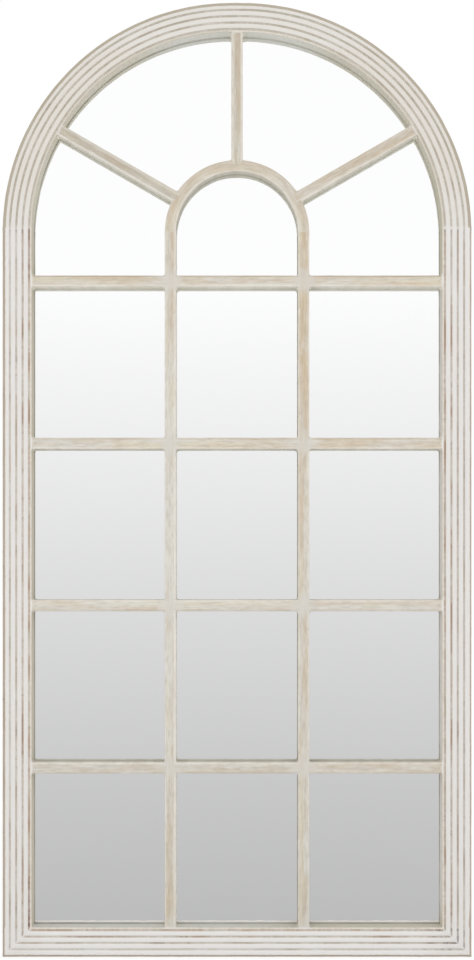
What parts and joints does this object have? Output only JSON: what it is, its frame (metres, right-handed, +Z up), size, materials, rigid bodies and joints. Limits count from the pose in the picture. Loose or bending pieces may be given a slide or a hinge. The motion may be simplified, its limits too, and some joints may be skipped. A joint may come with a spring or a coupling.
{
  "type": "full-length mirror",
  "caption": "Tall arched mirror in a reeded, distressed whitewashed wooden frame, with glazing bars and a fan head laid over a single mirror sheet.",
  "frame": {"origin": "middle of the bottom face, halfway through the frame's depth", "axes": "+X to the right as the mirror is looked into, +Y out of the back, +Z up; the glass faces -Y"},
  "size_m": [0.9, 0.0395, 1.83],
  "materials": {
    "frame_paint": "distressed off-white paint, brown in the grooves and on worn edges",
    "bar_paint": "thin cream wash, brushed, with bare wood showing",
    "tenon_wood": "bare",
    "zinc_steel": "zinc plated",
    "ring_steel": "zinc plated",
    "mirror": "silvered float glass",
    "pad_rubber": "matt",
    "hardboard": "raw hardboard",
    "bumper_rubber": "matt"
  },
  "bodies": {
    "mirror": {"left_stile": "frame_paint", "right_stile": "frame_paint", "bottom_rail": "frame_paint", "arch_quarter_left": "frame_paint", "arch_quarter_right": "frame_paint", "glazing_bar_left": "bar_paint", "glazing_bar_right": "bar_paint", "cross_bar_1": "bar_paint", "cross_bar_2": "bar_paint", "cross_bar_3": "bar_paint", "cross_bar_4": "bar_paint", "inner_arch_hoop": "bar_paint", "spoke_left": "bar_paint", "spoke_centre": "bar_paint", "spoke_right": "bar_paint", "spring_tenons": "tenon_wood", "crown_tenon": "tenon_wood", "hoop_tenons": "tenon_wood", "corner_v_nails": "zinc_steel", "framers_points": "zinc_steel", "hanger_screws": "zinc_steel", "hanger_strap_left": "zinc_steel", "hanger_strap_right": "zinc_steel", "mirror_glass": "mirror", "glass_setting_pads": "pad_rubber", "backing_board": "hardboard", "wall_bumpers": "bumper_rubber"},
    "ring_left": {"d_ring_left": "ring_steel"},
    "ring_right": {"d_ring_right": "ring_steel"}
  },
  "joints": [
    {"name": "ring_left_swing", "type": "hinge", "parent": "mirror", "child": "ring_left", "pos_m": [-0.4345, 0.01975, 1.345], "axis": [1, 0, 0], "range_deg": [0, 180]},
    {"name": "ring_right_swing", "type": "hinge", "parent": "mirror", "child": "ring_right", "pos_m": [0.4345, 0.01975, 1.345], "axis": [1, 0, 0], "range_deg": [0, 180]}
  ]
}
